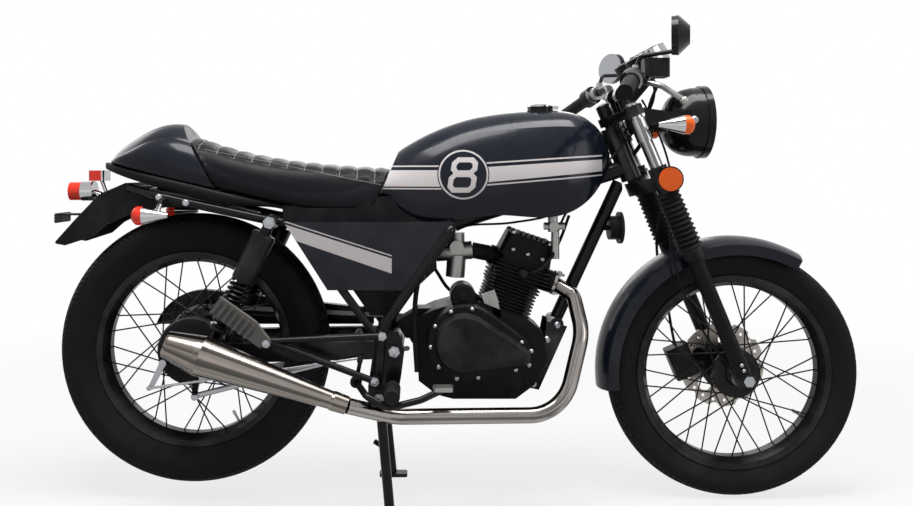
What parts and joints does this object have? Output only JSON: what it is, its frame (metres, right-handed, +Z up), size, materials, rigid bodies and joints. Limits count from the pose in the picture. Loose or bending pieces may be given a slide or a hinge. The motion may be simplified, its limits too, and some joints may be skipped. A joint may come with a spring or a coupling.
{
  "type": "cafe racer motorcycle",
  "caption": "Black cafe racer motorcycle with an upright single-cylinder engine, ribbed single seat, wire wheels, clip-style bars and a turning fork, on its centre stand.",
  "frame": {"origin": "on the floor under the middle of the machine's overall box", "axes": "+X points forward, towards the front wheel; +Y to the rider's left; +Z up"},
  "size_m": [1.9914, 0.7072, 1.1469],
  "materials": {
    "frame_paint": "gloss black enamel",
    "tank_paint": "satin black with a navy tint, silver stripes",
    "engine_paint": "satin black heat-proof paint",
    "bright_steel": "brushed stainless steel",
    "zinc_steel": "zinc-plated steel",
    "chain_steel": "dark oiled steel",
    "silver_alloy": "bead-blasted aluminium",
    "chrome": "polished chrome",
    "tyre": "matte black tyre rubber",
    "rubber": "matte black rubber",
    "seat_cover": "satin black stitched vinyl",
    "black_plastic": "matte black plastic",
    "mirror_shell": "gloss black plastic"
  },
  "bodies": {
    "chassis": {"frame_spine": "frame_paint", "down_tube": "frame_paint", "rear_frame": "frame_paint", "stand_pivot": "zinc_steel", "seat_rails": "frame_paint", "swingarm": "frame_paint", "rear_axle": "zinc_steel", "engine_case": "engine_paint", "cylinder_barrel": "engine_paint", "cylinder_head": "engine_paint", "carburettor": "silver_alloy", "air_box": "black_plastic", "exhaust_header": "bright_steel", "muffler": "bright_steel", "fuel_tank": "tank_paint", "seat_pad": "seat_cover", "seat_cowl": "tank_paint", "tail_tray": "black_plastic", "side_panels": "tank_paint", "rear_fender": "black_plastic", "tail_lamp": "chrome", "rear_indicators": "chrome", "rear_shocks": "frame_paint", "drive_chain": "chain_steel", "chain_guard": "frame_paint", "rear_brake": "engine_paint", "foot_controls": "frame_paint", "footrests": "rubber", "fuel_tap": "silver_alloy", "horn": "black_plastic"},
    "steering": {"fork_yokes": "frame_paint", "fork_tubes": "chrome", "fork_boots": "rubber", "fork_lowers": "engine_paint", "front_axle": "zinc_steel", "handlebar": "frame_paint", "hand_controls": "silver_alloy", "mirrors": "mirror_shell", "instruments": "black_plastic", "headlight": "frame_paint", "front_indicators": "chrome", "front_fender": "tank_paint", "brake_caliper": "engine_paint", "brake_hose": "rubber", "speedometer_cable": "rubber"},
    "front_wheel_set": {"front_tyre": "tyre", "front_wheel": "frame_paint", "front_disc": "bright_steel"},
    "rear_wheel_set": {"rear_tyre": "tyre", "rear_wheel": "frame_paint"},
    "stand": {"centre_stand": "frame_paint"}
  },
  "joints": [
    {"name": "steering", "type": "hinge", "parent": "chassis", "child": "steering", "pos_m": [0.407, 0, 0.863], "axis": [-0.3843, 0, 0.9232], "range_deg": [-35, 35]},
    {"name": "front_wheel", "type": "hinge", "parent": "steering", "child": "front_wheel_set", "pos_m": [0.6852, 0, 0.3105], "axis": [0, 1, 0], "continuous": true},
    {"name": "rear_wheel", "type": "hinge", "parent": "chassis", "child": "rear_wheel_set", "pos_m": [-0.6548, 0, 0.37], "axis": [0, 1, 0], "continuous": true},
    {"name": "centre_stand", "type": "hinge", "parent": "chassis", "child": "stand", "pos_m": [-0.1928, 0, 0.272], "axis": [0, 1, 0], "range_deg": [0, 78]}
  ]
}
